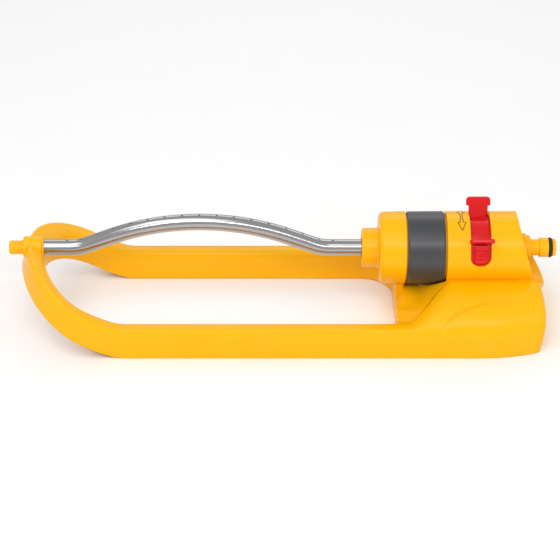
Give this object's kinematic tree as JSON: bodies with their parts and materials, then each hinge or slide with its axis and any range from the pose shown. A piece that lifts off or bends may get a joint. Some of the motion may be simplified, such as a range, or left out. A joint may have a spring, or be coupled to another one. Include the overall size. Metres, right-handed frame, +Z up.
{
  "type": "oscillating lawn sprinkler",
  "caption": "Oscillating lawn sprinkler with a yellow looped ground frame, arched aluminium spray tube, grey control ring, red sweep stops and a hose nipple.",
  "frame": {"origin": "centre of the footprint on the ground", "axes": "+X along the spray tube towards the hose nipple, +Z up"},
  "size_m": [0.464, 0.15, 0.1059],
  "materials": {
    "yellow_plastic": "gloss",
    "aluminium_tube": "brushed",
    "dark_plastic": "matte",
    "grey_ring_plastic": "satin",
    "red_plastic": "gloss",
    "white_acetal": "satin",
    "blue_acetal": "satin",
    "black_rubber": "matte",
    "steel": "brushed"
  },
  "bodies": {
    "base": {"frame": "yellow_plastic", "left_bush": "yellow_plastic", "fixing_screws": "steel", "front_cap": "yellow_plastic", "collar_seal": "black_rubber", "housing": "yellow_plastic", "inlet_nipple": "yellow_plastic", "nipple_oring": "black_rubber", "filter_screen": "steel", "spindle": "steel", "sun_gear": "white_acetal"},
    "spray_bar": {"spray_tube": "aluminium_tube", "output_hub": "dark_plastic", "hub_orings": "black_rubber", "motor_case": "dark_plastic", "motor_lid": "dark_plastic", "lid_seal": "black_rubber", "gear_pin": "steel", "gear_plate": "white_acetal"},
    "wheel_one": {"gear_one": "white_acetal"},
    "wheel_two": {"gear_two": "white_acetal"},
    "wheel_three": {"gear_three": "white_acetal"},
    "turbine_wheel": {"turbine": "white_acetal"},
    "trip": {"trip_lever": "blue_acetal", "diverter": "blue_acetal"},
    "ring": {"control_ring": "grey_ring_plastic", "valve_sleeve": "white_acetal"},
    "stop_front": {"front_stop": "red_plastic"},
    "stop_rear": {"rear_stop": "red_plastic"},
    "plug": {"end_plug": "yellow_plastic", "plug_oring": "black_rubber", "cleaning_pin": "steel"}
  },
  "joints": [
    {"name": "bar_swing", "type": "hinge", "parent": "base", "child": "spray_bar", "pos_m": [0, 0, 0.0645], "axis": [1, 0, 0], "range_deg": [-50, 40]},
    {"name": "gear_three_spin", "type": "hinge", "parent": "spray_bar", "child": "wheel_three", "pos_m": [0.126, -0.00102, 0.07611], "axis": [1, 0, 0], "range_deg": [-120, 120]},
    {"name": "gear_two_spin", "type": "hinge", "parent": "spray_bar", "child": "wheel_two", "pos_m": [0.13, 0, 0.0645], "axis": [1, 0, 0], "range_deg": [-260, 260]},
    {"name": "gear_one_spin", "type": "hinge", "parent": "spray_bar", "child": "wheel_one", "pos_m": [0.134, -0.00102, 0.07611], "axis": [1, 0, 0], "range_deg": [-560, 560]},
    {"name": "turbine_spin", "type": "hinge", "parent": "spray_bar", "child": "turbine_wheel", "pos_m": [0.147, 0, 0.0645], "axis": [1, 0, 0], "range_deg": [-1230, 1230]},
    {"name": "trip_rock", "type": "hinge", "parent": "spray_bar", "child": "trip", "pos_m": [0.17, 0, 0.0645], "axis": [1, 0, 0], "range_deg": [-10, 10]},
    {"name": "ring_turn", "type": "hinge", "parent": "base", "child": "ring", "pos_m": [0.124, 0, 0.0645], "axis": [1, 0, 0], "range_deg": [0, 90]},
    {"name": "front_stop_slide", "type": "hinge", "parent": "base", "child": "stop_front", "pos_m": [0.172, 0, 0.0645], "axis": [1, 0, 0], "range_deg": [-36, 3]},
    {"name": "rear_stop_slide", "type": "hinge", "parent": "base", "child": "stop_rear", "pos_m": [0.172, 0, 0.0645], "axis": [1, 0, 0], "range_deg": [-3, 36]},
    {"name": "plug_pull", "type": "slide", "parent": "spray_bar", "child": "plug", "axis": [-1, 0, 0], "range_m": [0, 0.04]}
  ],
  "couplings": [
    {"joint": "gear_three_spin", "follows": "bar_swing", "ratio": 2.2222},
    {"joint": "gear_two_spin", "follows": "bar_swing", "ratio": -4.9383},
    {"joint": "gear_one_spin", "follows": "bar_swing", "ratio": 10.974},
    {"joint": "turbine_spin", "follows": "bar_swing", "ratio": -24.387}
  ]
}
